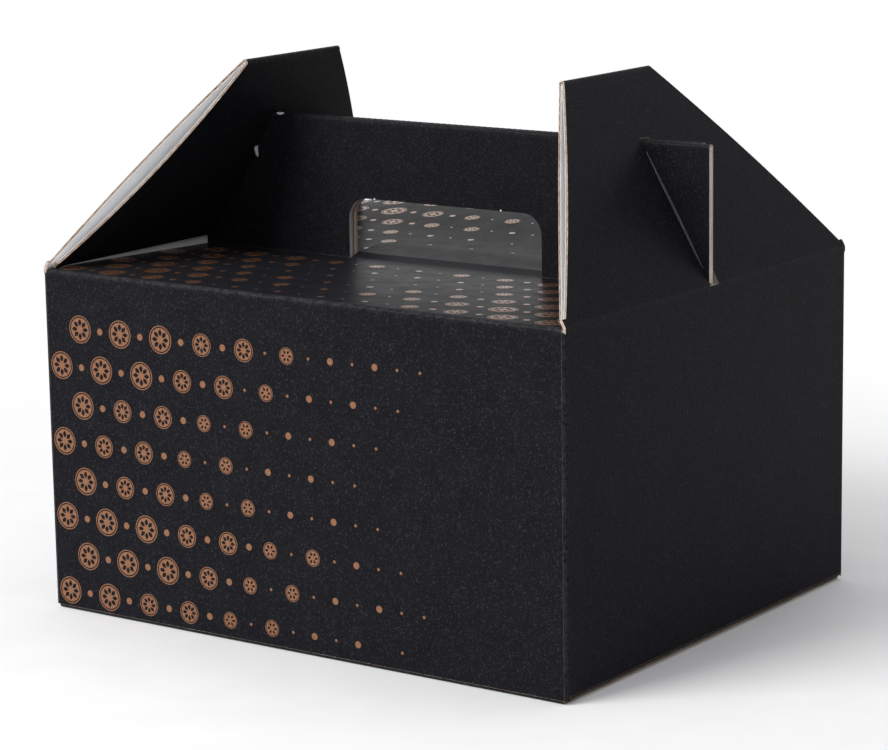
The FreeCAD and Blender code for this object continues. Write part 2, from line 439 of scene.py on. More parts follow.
def board_relief(u, v, w, ribs):
    """Offset across the board with each facing sunk between the flutes that carry it, ribs deep."""
    hollow = 0.5 - 0.5 * np.sin(2 * np.pi * u / FLUTE_PITCH) * np.sign(w)
    return w * (1 - ribs * hollow / HALF_BOARD)


def slow_waves(u, v, seed):
    """Unevenness of paper over some centimetres, always inwards. The seed shifts the pattern."""
    total = np.zeros(len(u))
    for i, (length_u, length_v) in enumerate(((83.0, 61.0), (47.0, 95.0), (29.0, 38.0))):
        along = np.sin(2 * np.pi * u / length_u + seed + i)
        total += along * np.sin(2 * np.pi * v / length_v + 2 * seed - i)
    return -PAPER_WAVES * (0.5 + total / 6)


def near_folds(v, folds, reach):
    """1 at a fold, falling to 0 a few reaches away."""
    total = np.zeros(len(v))
    for fold in folds:
        total = np.maximum(total, np.exp(-(((v - fold) / reach) ** 2)))
    return total


def panel_slope():
    return PANEL_DIP / (HALF_WIDTH - HANDLE_HALF)


def half_path():
    """From the foot of the front wall over the top panel and up the handle, in (y, z)."""
    wall_y = -HALF_WIDTH + HALF_BOARD
    outer_y = -HANDLE_HALF + HALF_BOARD
    top = HANDLE_TOP - HALF_BOARD
    corners = [
        (wall_y, FOLD_RADIUS),
        (wall_y, WALL_HEIGHT - HALF_BOARD),
        (outer_y, HANDLE_FOOT - HALF_BOARD),
        (outer_y, top),
        (outer_y + PLY_PITCH, top),
        (outer_y + PLY_PITCH, HANDLE_FOOT + INNER_PLY_LIFT),
    ]
    return rounded_path(corners, [MIDDLE_RADIUS, MIDDLE_RADIUS, PLY_PITCH / 2, PLY_PITCH / 2])


def tab_path(rise):
    """From the top panel through the grip hole to the far end of the tab, in (y, z)."""
    root = HANDLE_HALF + FOLD_RADIUS
    level = HANDLE_FOOT - HALF_BOARD
    corners = [
        (-root, level + panel_slope() * (root - HANDLE_HALF)),
        (-HANDLE_HALF, level),
        (HANDLE_HALF, level + rise),
        (TAB_END, level + rise + panel_slope() * (TAB_END - HANDLE_HALF)),
    ]
    return rounded_path(corners, [TAB_BEND_RADIUS, TAB_BEND_RADIUS], step=4.0)


def rounded_top(half, low, high, radius):
    """Left side, rounded top and right side of an upright opening or tab, from left to right."""
    left = arc_points((-half + radius, high - radius), radius, 180, 90)
    right = arc_points((half - radius, high - radius), radius, 90, 0)
    return [(-half, low)] + left + right + [(half, low)]


def make_half(name, side, handle_half, rise, materials):
    """Front half, or with side -1 the rear half: wall, top panel, doubled handle and tab."""
    path = half_path()
    tab = tab_path(rise)
    root_y = -(HANDLE_HALF + FOLD_RADIUS)
    root = path.nearest((root_y, HANDLE_FOOT - HALF_BOARD))
    outer_y = -HANDLE_HALF + HALF_BOARD
    inner_y = outer_y + PLY_PITCH
    step_up = path.nearest((outer_y, WALL_HEIGHT + CREASE_GAP))
    step_down = path.nearest((inner_y, WALL_HEIGHT + CREASE_GAP))
    hole_top = path.nearest((outer_y, GRIP_TOP))
    inner_hole_top = path.nearest((inner_y, GRIP_TOP))
    corner = HALF_LENGTH - FOLD_RADIUS
    wall_top = path.nearest((-HALF_WIDTH + HALF_BOARD, WALL_HEIGHT - FOLD_RADIUS))
    end = path.length

    arch = rounded_top(GRIP_HALF, inner_hole_top, end, GRIP_RADIUS)
    notch = [(u, inner_hole_top + end - v) for u, v in arch]
    outside = [
        (-corner, 0.0), (corner, 0.0), (corner, wall_top),
        (PANEL_HALF, wall_top), (PANEL_HALF, step_up),
        (handle_half, step_up), (handle_half, step_down),
        (PANEL_HALF, step_down), (PANEL_HALF, end),
        *reversed(notch),
        (-PANEL_HALF, end), (-PANEL_HALF, step_down),
        (-handle_half, step_down), (-handle_half, step_up),
        (-PANEL_HALF, step_up), (-PANEL_HALF, wall_top), (-corner, wall_top),
    ]
    tab_tip = root + tab.length
    hole_side = rounded_top(GRIP_HALF, root, hole_top, GRIP_RADIUS)
    tab_side = rounded_top(TAB_HALF, root, tab_tip, GRIP_RADIUS)
    slit = hole_side + tab_side[::-1]

    def on_tab(u, v):
        """True for points of the cut-out, by their distance to its rounded outline."""
        over_u = np.maximum(np.abs(u) - (TAB_HALF - GRIP_RADIUS), 0)
        over_v = np.maximum(v - (tab_tip - GRIP_RADIUS), 0)
        near = np.hypot(over_u, over_v) < GRIP_RADIUS + TAB_MARGIN
        return near & (v > root) & (v < tab_tip + TAB_MARGIN)

    def place(u, v, w):
        fold_ribs = CRUSH * near_folds(v, [(path.folds[2] + path.folds[3]) / 2], CRUSH_REACH)
        ribs = WASHBOARD * (1 - near_folds(v, path.folds, RIB_GAP)) + fold_ribs
        calm = smooth(corner - np.abs(u), 0.0, 14.0)
        w = board_relief(u, v, w, ribs * smooth(corner - np.abs(u), -1.5, 3.0))
        w = w + slow_waves(u, v, 1.0 + side) * calm * (1 - near_folds(v, path.folds, WAVE_GAP))
        y, z = path.place(v, w)
        tab_y, tab_z = tab.place(np.clip(v - root, 0, None), w)
        tab_z = tab_z + (TAB_SPRING if side > 0 else 0.0) * smooth(tab_y, -HANDLE_HALF, TAB_END)
        chosen = on_tab(u, v)
        if side < 0:
            bow = REAR_CREASE_BOW * (1 - (u / HALF_LENGTH) ** 6)
            z = z + bow * near_folds(v, path.folds[:1], REAR_BOW_SPREAD)
        y = np.where(chosen, tab_y, y)
        z = np.where(chosen, tab_z, z)
        return np.stack([u, side * y, z], axis=1)

    def wear(u, v):
        crest = HANDLE_WEAR * near_folds(v, path.folds[2:], CREASE_WEAR)
        return np.maximum(near_folds(v, path.folds[:2], CREASE_WEAR), crest)

    columns = np.arange(-HALF_LENGTH, HALF_LENGTH, COLUMN)
    piece = Piece(name, place, wear)
    rows = np.concatenate([path.at, root + tab.at[1:-1]])
    piece.add_board(Blank([outside, slit], columns, np.unique(np.round(rows, 4))))
    return piece.finish(materials), place, path


def bulge(up, bow):
    """Outward bulge of a ply at a height up the flap."""
    share = (up + BOARD) / (FLAP_LENGTH - PLY_GAP / 2)
    return bow * 4 * share * (1 - share)


def flap_lines(inner_bow):
    """Middle line of both plies of an end flap, as (distance up the flap, distance outwards)."""
    turn = BOARD + PLY_GAP / 2
    shoulder = FLAP_LENGTH - turn
    up = np.concatenate([[0.0, 1.0], np.linspace(4, shoulder - 2, 22), [shoulder]])
    outer = [(s, bulge(s, OUTER_BOW) - HALF_BOARD) for s in np.maximum(up, OUTER_FOOT)]
    radius = turn - HALF_BOARD
    turns = np.radians(np.linspace(90, -90, 9))[1:-1]
    fold = [(shoulder + radius * math.cos(a), -turn + radius * math.sin(a)) for a in turns]
    inner = [(s, -2 * turn + HALF_BOARD - bulge(s, inner_bow)) for s in up[::-1] if s > INNER_FOOT]
    inner.append((INNER_FOOT, -2 * turn + HALF_BOARD - bulge(INNER_FOOT, inner_bow)))
    outer = [outer[0]] + [p for p in outer if p[0] > OUTER_FOOT]
    return Path(outer + fold + inner, [(FLAP_LENGTH - HALF_BOARD, -turn)])


def flap_point(lean, up, outward):
    """(x, z) of a spot on the right flap, from its distances up the flap and outwards from it."""
    x = HALF_LENGTH - up * math.sin(lean) + outward * math.cos(lean)
    z = WALL_HEIGHT + up * math.cos(lean) + outward * math.sin(lean)
    return x, z


def make_flap(name, side, lean_degrees, inner_bow, materials):
    """Doubled end flap, with the slot that hooks over the handle's end."""
    path = flap_lines(inner_bow)
    lean = math.radians(lean_degrees)
    fold = path.folds[0]
    slant = (FLAP_FOOT_HALF - FLAP_TOP_HALF) / FLAP_LENGTH

    def height(v):
        """Distance up the flap of a point of either ply."""
        return np.interp(v, path.at, path.points[:, 0])

    def up_where(s, ply):
        """Where on the path a height is, on the outer ply or the inner."""
        half = path.at <= fold if ply == "outer" else path.at >= fold
        at = path.at[half]
        ups = path.points[half, 0]
        order = np.argsort(ups)
        return float(np.interp(s, ups[order], at[order]))

    def half_width(s):
        return FLAP_FOOT_HALF - slant * s

    def slot_height(ply):
        """Height up the flap at which a ply passes over the handle."""
        for s in np.arange(60.0, 95.0, 0.05):
            v = up_where(s, ply)
            outward = np.interp(v, path.at, path.points[:, 1])
            if s * math.cos(lean) + outward * math.sin(lean) > SLOT_TOP - WALL_HEIGHT:
                return s
        return 95.0

    shoulder = FLAP_LENGTH - BOARD
    outer_slot = up_where(slot_height("outer"), "outer")
    inner_slot = up_where(slot_height("inner"), "inner")
    end = path.length
    fold_out = up_where(shoulder, "outer")
    fold_in = up_where(shoulder, "inner")
    outside = [
        (half_width(OUTER_FOOT), 0.0), (half_width(shoulder), fold_out),
        (half_width(shoulder), fold_in), (half_width(INNER_FOOT), end),
        (SLOT_HALF, end), (SLOT_HALF, inner_slot), (-SLOT_HALF, inner_slot), (-SLOT_HALF, end),
        (-half_width(INNER_FOOT), end), (-half_width(shoulder), fold_in),
        (-half_width(shoulder), fold_out), (-half_width(OUTER_FOOT), 0.0),
        (-SLOT_HALF, 0.0), (-SLOT_HALF, outer_slot), (SLOT_HALF, outer_slot), (SLOT_HALF, 0.0),
    ]

    def place(u, v, w):
        ribs = WASHBOARD + FLAP_CRUSH * near_folds(v, [fold], FLAP_CRUSH_REACH)
        w = board_relief(u, v, w, ribs)
        calm = smooth(height(v), 4.0, 25.0) * smooth(FLAP_LENGTH - height(v), 4.0, 25.0)
        w = w + slow_waves(u, v, 4.0 + side) * calm
        x, z = flap_point(lean, *path.place(v, w))
        return np.stack([side * x, u, z], axis=1)

    def wear(u, v):
        return near_folds(v, [fold], 1.6)

    columns = np.arange(-FLAP_FOOT_HALF, FLAP_FOOT_HALF, COLUMN)
    piece = Piece(name, place, wear)
    piece.add_board(Blank([outside], columns, path.at))

    def outer_point(out, s):
        """Spot on the flat outer ply, beside the slot's front edge and at a height up the flap."""
        return -SLOT_HALF - out, up_where(s, "outer")

    return piece.finish(materials), place, outer_point


def make_slot_lip(name, place, outer_point, material):
    """Scuffed strip along the front edge of a flap's slot."""
    shape = ((0.0, 9.0), (1.0, 16.0), (1.6, 34.0), (1.5, 52.0), (0.4, 68.0), (0.0, 70.0))
    outline = [outer_point(out, s) for out, s in shape]
    piece = Piece(name, place)
    rows = np.arange(outline[0][1], outline[-1][1], 4.0)
    piece.add_slab(Blank([outline], [], rows), HALF_BOARD + INK_LOW, HALF_BOARD + LIP_HIGH)
    return piece.finish([material])


def grid_columns(path):
    """Columns for a sheet whose path runs across the flutes."""
    return np.unique(np.round(np.concatenate([path.at, np.arange(0, path.length, COLUMN)]), 4))


def make_end_wall(name, side, seam, materials):
    """End wall with the rounded corners beside it. The seam's rear edge is cut square."""
    wall_x = HALF_LENGTH - HALF_BOARD
    wall_y = HALF_WIDTH - HALF_BOARD
    start = HALF_LENGTH - FOLD_RADIUS
    corners = [(start, -wall_y), (wall_x, -wall_y)]
    radii = [MIDDLE_RADIUS]
    if seam:
        corners += [(wall_x, HALF_WIDTH)]
    else:
        corners += [(wall_x, wall_y), (start, wall_y)]
        radii += [MIDDLE_RADIUS]
    path = rounded_path(corners, radii)
    near = path.nearest((wall_x, -HALF_WIDTH + FOLD_RADIUS))
    far = path.nearest((wall_x, HALF_WIDTH - FOLD_RADIUS))
    foot = PLY_PITCH + FOLD_RADIUS
    shoulder = WALL_HEIGHT - FOLD_RADIUS
    end = path.length
    outside = [
        (0.0, FOLD_RADIUS), (near, FOLD_RADIUS), (near, foot), (far, foot), (far, FOLD_RADIUS),
        (end, FOLD_RADIUS), (end, shoulder), (far, shoulder), (far, WALL_HEIGHT),
        (near, WALL_HEIGHT), (near, shoulder), (0.0, shoulder),
    ]

    def place(u, v, w):
        calm = smooth(u, 2.0, 16.0) * smooth(end - u, 2.0, 16.0) * smooth(v, 4, 20)
        calm = calm * smooth(WALL_HEIGHT - v, 4, 20)
        ribs = WASHBOARD * smooth(u, 1.0, 5.0) * smooth(end - u, 1.0, 5.0)
        w = board_relief(u, v, w, ribs) + slow_waves(u, v, 7.0 + side) * calm
        x, y = path.place(u, -w)
        return np.stack([side * x, y, v], axis=1)

    def wear(u, v):
        return np.maximum(near_folds(u, path.folds, CREASE_WEAR), near_folds(v, [WALL_HEIGHT], 0.5))

    levels = np.linspace(6, WALL_HEIGHT - 4, 14)
    rows = np.concatenate([[FOLD_RADIUS, foot], levels, [shoulder, WALL_HEIGHT]])
    piece = Piece(name, place, wear)
    piece.add_board(Blank([outside], grid_columns(path), rows))
    return piece.finish(materials)


def make_strip(name, path, half, embed, materials):
    """Plain flap of board, as wide as both halves, whose path is embedded by a function."""

    def place(u, v, w):
        return embed(u, *path.place(v, w))

    outside = [(-half, 0.0), (half, 0.0), (half, path.length), (-half, path.length)]
    piece = Piece(name, place, lambda u, v: near_folds(v, path.folds, CREASE_WEAR))
    piece.add_board(Blank([outside], np.arange(-half, half, FLUTE_PITCH), path.at))
    return piece.finish(materials)


def make_outer_bottom_flap(name, side, materials):
    wall_y = -HALF_WIDTH + HALF_BOARD
    corners = [(-BOTTOM_MEETING_HALF, HALF_BOARD), (wall_y, HALF_BOARD), (wall_y, FOLD_RADIUS)]
    path = rounded_path(corners, [MIDDLE_RADIUS])
    half = HALF_LENGTH - BOTTOM_SETBACK
    return make_strip(name, path, half, lambda u, y, z: np.stack([u, side * y, z], axis=1), materials)


def make_inner_bottom_flap(name, side, materials):
    wall_x = -HALF_LENGTH + HALF_BOARD
    level = PLY_PITCH + HALF_BOARD
    inner_end = INNER_BOTTOM_LENGTH - HALF_LENGTH
    corners = [(inner_end, level), (wall_x, level), (wall_x, PLY_PITCH + FOLD_RADIUS)]
    path = rounded_path(corners, [MIDDLE_RADIUS])
    half = HALF_WIDTH - FOLD_RADIUS - EDGE_ROOM
    return make_strip(name, path, half, lambda u, x, z: np.stack([-side * x, u, z], axis=1), materials)


def make_glue_tab(materials):
    """Tab inside the left wall, glued to it."""
    x = -HALF_LENGTH + BOARD + HALF_BOARD
    near = HALF_WIDTH - BOARD - 0.05
    far = near - GLUE_TAB_WIDTH
    low = BOARD + PLY_PITCH + GLUE_TAB_ROOM
    high = WALL_HEIGHT - GLUE_TAB_ROOM
    outside = [(far, low + GLUE_TAB_SLOPE), (near, low), (near, high), (far, high - GLUE_TAB_SLOPE)]
    piece = Piece("glue_tab", lambda u, v, w: np.stack([x - w, u, v], axis=1))
    piece.add_board(Blank([outside], np.arange(far, near, FLUTE_PITCH), np.linspace(low, high, 9)))
    return piece.finish(materials)


def make_torn_lip(lean_degrees, materials):
    """Scrap of board torn up at the front edge of the left flap's slot."""
    lean = math.radians(lean_degrees)
    root = 61.0            # up the flap
    sunk = 0.4             # how deep the scrap is rooted in the ply
    beside = 1.4           # from the slot's front edge to the scrap's middle
    inward = -2 * PLY_PITCH - bulge(root, INNER_BOW["left"]) + sunk
    line = Path([(0.0, 0.0), (1.4, 0.5), (2.8, 1.5), (4.0, 2.9), (5.0, 4.6)])

    def place(u, v, w):
        down, away = line.place(v, w)
        x, z = flap_point(lean, root - down, inward - away)
        return np.stack([-x, u - SLOT_HALF - beside, z], axis=1)

    outline = [(-1.0, 0.0), (1.1, 0.0), (1.2, 2.6), (0.7, 5.0), (-0.1, 5.9), (-0.8, 4.4), (-1.2, 2.2)]
    piece = Piece("torn_lip", place)
    rows = np.arange(0.0, line.length, 0.7)
    piece.add_slab(Blank([outline], np.arange(-1.0, 1.2, 0.5), rows), -0.25, 0.25, (LINER, LINER, KRAFT))
    return piece.finish(materials)


def make_crease(name, side, lean_degrees, materials):
    """Bent paper between an end wall and its flap."""
    lean = math.radians(lean_degrees)

    def beside_flap(up, proud):
        return flap_point(lean, up, bulge(up, OUTER_BOW) + proud)

    line = [
        (HALF_LENGTH - 0.12, WALL_HEIGHT - 2.6),
        (HALF_LENGTH + 0.03, WALL_HEIGHT - 1.8),
        (HALF_LENGTH + 0.06, WALL_HEIGHT - 0.9),
        (HALF_LENGTH + 0.04, WALL_HEIGHT - 0.1),
        (HALF_LENGTH - 0.10, WALL_HEIGHT + 0.55),
        beside_flap(1.5, 0.08),
        beside_flap(2.4, 0.06),
        beside_flap(3.2, 0.03),
        beside_flap(4.2, -0.12),
    ]
    path = Path(line, [(HALF_LENGTH, WALL_HEIGHT + 0.2)])

    def place(u, v, w):
        x, z = path.place(v, -w)
        return np.stack([side * x, u, z], axis=1)

    half = FLAP_FOOT_HALF - 0.2
    end = path.length
    crease = path.nearest((HALF_LENGTH, WALL_HEIGHT))
    outside = [
        (-half, 0.0), (half, 0.0), (half, end), (SLOT_HALF, end), (SLOT_HALF, crease),
        (-SLOT_HALF, crease), (-SLOT_HALF, end), (-half, end),
    ]
    piece = Piece(name, place, lambda u, v: 0.8 * near_folds(v, path.folds, 0.5))
    blank = Blank([outside], np.arange(-half, half, FLUTE_PITCH), path.at)
    piece.add_slab(blank, 0.1 - BOARD, 0.0, (PRINT, LINER, PRINT_EDGE))
    return piece.finish(materials)


# Print


def ring_outline(radius, count, centre=(0.0, 0.0), turn=0.0):
    angles = turn + np.arange(count) * 2 * math.pi / count
    return [(centre[0] + radius * math.cos(a), centre[1] + radius * math.sin(a)) for a in angles]


def petal_outline(inner, outer, width, angle):
    """Leaf between two radii, pointing away from the centre."""
    shares = np.linspace(0, 1, 7)
    right = [(inner + (outer - inner) * t, -width * math.sin(math.pi * t) / 2) for t in shares]
    left = [(r, -across) for r, across in right[1:-1]][::-1]
    c, s = math.cos(angle), math.sin(angle)
    return [(r * c - a * s, r * s + a * c) for r, a in right + left]


def motif(radius, petals):
    """Outlines of one printed mark: a dot, or a ringed disc with leaves left out of it."""
    if petals == 0:
        return [[ring_outline(radius, 20)]]
    angles = [2 * math.pi * i / petals for i in range(petals)]
    leaves = [petal_outline(radius * 0.24, radius * 0.74, radius * 0.31, angle) for angle in angles]
    disc = [ring_outline(radius * 0.84, 36)] + leaves
    return [[ring_outline(radius, 40), ring_outline(radius * 0.93, 40)], disc]


MARK_KINDS = {
    "large": (6.9, 8),
    "middle": (5.6, 8),
    "small": (4.1, 6),
    "dot": (1.7, 0),
    "speck": (0.75, 0),
}
MIDWAY_SHARE = 0.3         # size of the marks halfway between two others, as a share of theirs

# A thin layer's faces, from the board's outside
INK_LOW = -0.05
INK_HIGH = 0.07
# Top of the white spots on the handle: the painted highlight on its crest and the bare nicks
HIGHLIGHT_AND_NICK_HIGH = 0.2
LIP_HIGH = 0.3


def mark_blanks():
    empty = np.array([])
    return {
        kind: [Blank(outlines, empty, empty) for outlines in motif(radius, petals)]
        for kind, (radius, petals) in MARK_KINDS.items()
    }


def kind_for(size):
    """Mark for a wanted size from 0, bare, to 1, the largest."""
    if size > 0.78:
        return "large"
    if size > 0.56:
        return "middle"
    if size > 0.36:
        return "small"
    if size > 0.16:
        return "dot"
    if size > 0.04:
        return "speck"
    return None


def print_marks(name, place, area, step, size_at, blanks, materials):
    """Marks on a staggered lattice over an area of a blank, with dots halfway between them."""
    (u0, v0), (u1, v1) = area
    piece = Piece(name, place)
    rows = int((v1 - v0) / step[1])
    columns = int((u1 - u0) / step[0])
    for row in range(rows + 1):
        for column in range(columns + 1):
            shift = step[0] / 2 if row % 2 else 0.0
            u = u0 + column * step[0] + shift
            v = v0 + row * step[1]
            for at, share in (((u, v), 1.0), ((u + step[0] / 2, v), MIDWAY_SHARE)):
                kind = kind_for(size_at(*at) * share)
                if kind is None or at[0] > u1:
                    continue
                for blank in blanks[kind]:
                    piece.add_slab(blank, HALF_BOARD + INK_LOW, HALF_BOARD + INK_HIGH, at=at)
    return piece.finish(materials)


# Materials


def new_material(name):
    material = bpy.data.materials.new(name)
    material.use_nodes = True
    nodes = material.node_tree.nodes
    return material, nodes, material.node_tree.links, nodes["Principled BSDF"]


def add_node(nodes, kind, **values):
    node = nodes.new(kind)
    for key, value in values.items():
        if key in node.inputs:
            node.inputs[key].default_value = value
        else:
            setattr(node, key, value)
    return node


def noise(nodes, links, coordinates, scale, detail=3.0, roughness=0.6):
    node = add_node(nodes, "ShaderNodeTexNoise", Scale=scale, Detail=detail, Roughness=roughness)
    links.new(coordinates, node.inputs["Vector"])
    return node.outputs["Fac"]


def ramp(nodes, links, value, low, high, color_low=(0, 0, 0, 1), color_high=(1, 1, 1, 1)):
    node = nodes.new("ShaderNodeValToRGB")
    node.color_ramp.elements[0].position = low
    node.color_ramp.elements[1].position = high
    node.color_ramp.elements[0].color = color_low
    node.color_ramp.elements[1].color = color_high
    links.new(value, node.inputs["Fac"])
    return node.outputs["Color"]


def mix_color(nodes, links, factor, first, second):
    node = nodes.new("ShaderNodeMix")
    node.data_type = "RGBA"
    for socket, value in ((node.inputs[6], first), (node.inputs[7], second)):
        if isinstance(value, tuple):
            socket.default_value = value
        else:
            links.new(value, socket)
    if isinstance(factor, float):
        node.inputs[0].default_value = factor
    else:
        links.new(factor, node.inputs[0])
    return node.outputs[2]


def multiply(nodes, links, first, second):
    node = nodes.new("ShaderNodeMath")
    node.operation = "MULTIPLY"
    for socket, value in ((node.inputs[0], first), (node.inputs[1], second)):
        if isinstance(value, float):
            socket.default_value = value
        else:
            links.new(value, socket)
    return node.outputs[0]


def bump(nodes, links, height, shader, strength, distance):
    node = add_node(nodes, "ShaderNodeBump", Strength=strength, Distance=distance)
    links.new(height, node.inputs["Height"])
    links.new(node.outputs["Normal"], shader.inputs["Normal"])


def black_print():
    """Black varnished print, with paper fibres showing through and grey wear at the folds."""
    material, nodes, links, shader = new_material("black_print")
    at = nodes.new("ShaderNodeTexCoord").outputs["Object"]
    fibres = noise(nodes, links, at, 1100.0, 3.0, 0.75)
    patches = noise(nodes, links, at, 90.0, 4.0, 0.6)
    specks = ramp(nodes, links, fibres, 0.55, 0.68)
    base = mix_color(nodes, links, patches, (0.0060, 0.0060, 0.0076, 1), (0.0112, 0.0112, 0.0134, 1))
    speckled = mix_color(nodes, links, multiply(nodes, links, specks, 0.65), base, (0.042, 0.043, 0.052, 1))
    wear = add_node(nodes, "ShaderNodeAttribute", attribute_name="wear")
    scuffs = ramp(nodes, links, noise(nodes, links, at, 420.0, 3.0, 0.7), 0.38, 0.72)
    worn = multiply(nodes, links, multiply(nodes, links, wear.outputs["Fac"], scuffs), 0.18)
    color = mix_color(nodes, links, worn, speckled, (0.15, 0.145, 0.14, 1))
    links.new(color, shader.inputs["Base Color"])
    gloss = ramp(nodes, links, patches, 0.3, 0.7, (0.31, 0.31, 0.31, 1), (0.40, 0.40, 0.40, 1))
    links.new(gloss, shader.inputs["Roughness"])
    shader.inputs["Specular IOR Level"].default_value = 0.023
    bump(nodes, links, fibres, shader, 0.35, 0.00012)
    return material


def paper(name, dark, light, roughness, scale=900.0):
    material, nodes, links, shader = new_material(name)
    at = nodes.new("ShaderNodeTexCoord").outputs["Object"]
    fibres = noise(nodes, links, at, scale, 4.0, 0.65)
    patches = noise(nodes, links, at, 60.0, 3.0, 0.6)
    fine = ramp(nodes, links, fibres, 0.35, 0.65)
    broad = ramp(nodes, links, patches, 0.3, 0.7)
    blend = mix_color(nodes, links, 0.5, fine, broad)
    links.new(mix_color(nodes, links, blend, dark, light), shader.inputs["Base Color"])
    shader.inputs["Roughness"].default_value = roughness
    shader.inputs["Specular IOR Level"].default_value = 0.3
    bump(nodes, links, fibres, shader, 0.4, 0.00015)
    return material


def copper_ink():
    """Copper-coloured ink: a metallic film that breaks up a little over the paper's fibres."""
    material, nodes, links, shader = new_material("copper_ink")
    at = nodes.new("ShaderNodeTexCoord").outputs["Object"]
    fibres = noise(nodes, links, at, 1300.0, 4.0, 0.7)
    flakes = ramp(nodes, links, fibres, 0.30, 0.62, (0.172, 0.072, 0.032, 1), (0.335, 0.149, 0.072, 1))
    links.new(flakes, shader.inputs["Base Color"])
    shader.inputs["Metallic"].default_value = 0.85
    shader.inputs["Coat Weight"].default_value = 1.0
    shader.inputs["Coat IOR"].default_value = 1.3
    shader.inputs["Coat Roughness"].default_value = 0.3
    shader.inputs["Roughness"].default_value = 0.36
    bump(nodes, links, fibres, shader, 0.3, 0.0001)
    return material


def seen_by_eye(nodes, links):
    """1 for rays from the camera, for reflections and for what is seen through a clear surface."""
    rays = nodes.new("ShaderNodeLightPath")
    seen = nodes.new("ShaderNodeMath")
    seen.operation = "MAXIMUM"
    links.new(rays.outputs["Is Camera Ray"], seen.inputs[0])
    links.new(rays.outputs["Is Glossy Ray"], seen.inputs[1])
    either = nodes.new("ShaderNodeMath")
    either.operation = "MAXIMUM"
    links.new(seen.outputs[0], either.inputs[0])
    links.new(rays.outputs["Is Transmission Ray"], either.inputs[1])
    return either.outputs[0]


def floor_material():
    material, nodes, links, shader = new_material("floor")
    at = nodes.new("ShaderNodeTexCoord").outputs["Object"]
    grain = noise(nodes, links, at, 30.0, 3.0, 0.5)
    pale = ramp(nodes, links, grain, 0.3, 0.7, (0.80, 0.80, 0.80, 1), (0.83, 0.83, 0.83, 1))
    links.new(pale, shader.inputs["Base Color"])
    shader.inputs["Roughness"].default_value = 0.7
    shader.inputs["Specular IOR Level"].default_value = 0.1
    # Far from the object the floor fades into the white background.
    spread = nodes.new("ShaderNodeVectorMath")
    spread.operation = "LENGTH"
    links.new(at, spread.inputs[0])
    far = ramp(nodes, links, spread.outputs["Value"], 0.16, 0.60)
    glow = add_node(nodes, "ShaderNodeEmission", Strength=1.0)
    blend = nodes.new("ShaderNodeMixShader")
    links.new(multiply(nodes, links, far, seen_by_eye(nodes, links)), blend.inputs[0])
    links.new(shader.outputs[0], blend.inputs[1])
    links.new(glow.outputs[0], blend.inputs[2])
    links.new(blend.outputs[0], nodes["Material Output"].inputs["Surface"])
    return material


# The object

black = black_print()
liner = paper("white_liner", (0.72, 0.72, 0.73, 1), (0.84, 0.84, 0.85, 1), 0.75)
print_edge = paper("print_edge", (0.22, 0.13, 0.09, 1), (0.55, 0.46, 0.40, 1), 0.8, 700.0)
liner_edge = paper("liner_edge", (0.55, 0.46, 0.40, 1), (0.78, 0.76, 0.74, 1), 0.8, 700.0)
kraft = paper("kraft_flutes", (0.42, 0.30, 0.21, 1), (0.68, 0.60, 0.53, 1), 0.85, 500.0)
scuffed = paper("scuffed_print", (0.045, 0.045, 0.050, 1), (0.13, 0.13, 0.14, 1), 0.6)
copper = copper_ink()
board_materials = [black, liner, print_edge, liner_edge, kraft]

front, front_place, front_path = make_half("front_half", 1, FRONT_HANDLE_HALF, TAB_RISE, board_materials)
rear, rear_place = make_half("rear_half", -1, REAR_HANDLE_HALF, -TAB_RISE, board_materials)[:2]
body_pieces = [
    front,
    rear,
    make_end_wall("right_end", 1, False, board_materials),
    make_end_wall("left_end", -1, True, board_materials),
    make_outer_bottom_flap("bottom_front_flap", 1, board_materials),
    make_outer_bottom_flap("bottom_rear_flap", -1, board_materials),
    make_inner_bottom_flap("bottom_right_flap", 1, board_materials),
    make_inner_bottom_flap("bottom_left_flap", -1, board_materials),
    make_glue_tab(board_materials),
]
for piece in body_pieces:
    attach(piece, "carton")
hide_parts("carton_body")

for side_name, side in (("right", 1), ("left", -1)):
    lean = FLAP_LEAN[side_name]
    bow = INNER_BOW[side_name]
    board_name = side_name + "_flap_board"
    flap, flap_place, outer_point = make_flap(board_name, side, lean, bow, board_materials)
    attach(flap, side_name + "_flap")
    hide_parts(side_name + "_end_flap")
    if side > 0:
        lip = make_slot_lip(board_name + "_slot_lip", flap_place, outer_point, scuffed)
        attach(lip, "right_flap")
    else:
        lip = make_torn_lip(lean, board_materials)
        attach(lip, "left_flap")
    crease = make_crease(side_name + "_crease", side, lean, board_materials)
    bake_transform(crease)

# Bare paper at the nicks that held the cut-out, and a white spot on the handle's crest that is a painted
# highlight

handle_crest = front_path.folds[2] + 0.4
nick_level = front_path.nearest((-HANDLE_HALF + HALF_BOARD, GRIP_TOP)) + 0.2
HIGHLIGHT_AND_NICKS = (
    # Painted highlight: a spot of white liner on the handle's crest. The two entries after it are bare
    # paper at the nicks.
    ((-101.0, handle_crest), (2.2, 0.7)),
    ((-41.8, nick_level), (0.4, 0.4)),
    ((34.4, nick_level), (0.4, 0.4)),
)
# White liner slabs: a painted highlight on the handle's crest, and bare paper at the nicks
scuffs = Piece("handle_highlight_and_nicks", front_place)
for centre, size in HIGHLIGHT_AND_NICKS:
    outline = [(x * size[0], y * size[1]) for x, y in ring_outline(1.0, 9, turn=0.3)]
    blank = Blank([outline], np.linspace(-2.0, 2.0, 11), np.linspace(-0.6, 0.6, 7))
    scuffs.add_slab(blank, HALF_BOARD + INK_LOW, HALF_BOARD + HIGHLIGHT_AND_NICK_HIGH, at=centre)
highlight_and_nicks_piece = scuffs.finish([liner])
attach(highlight_and_nicks_piece, "carton")

# Print in copper ink

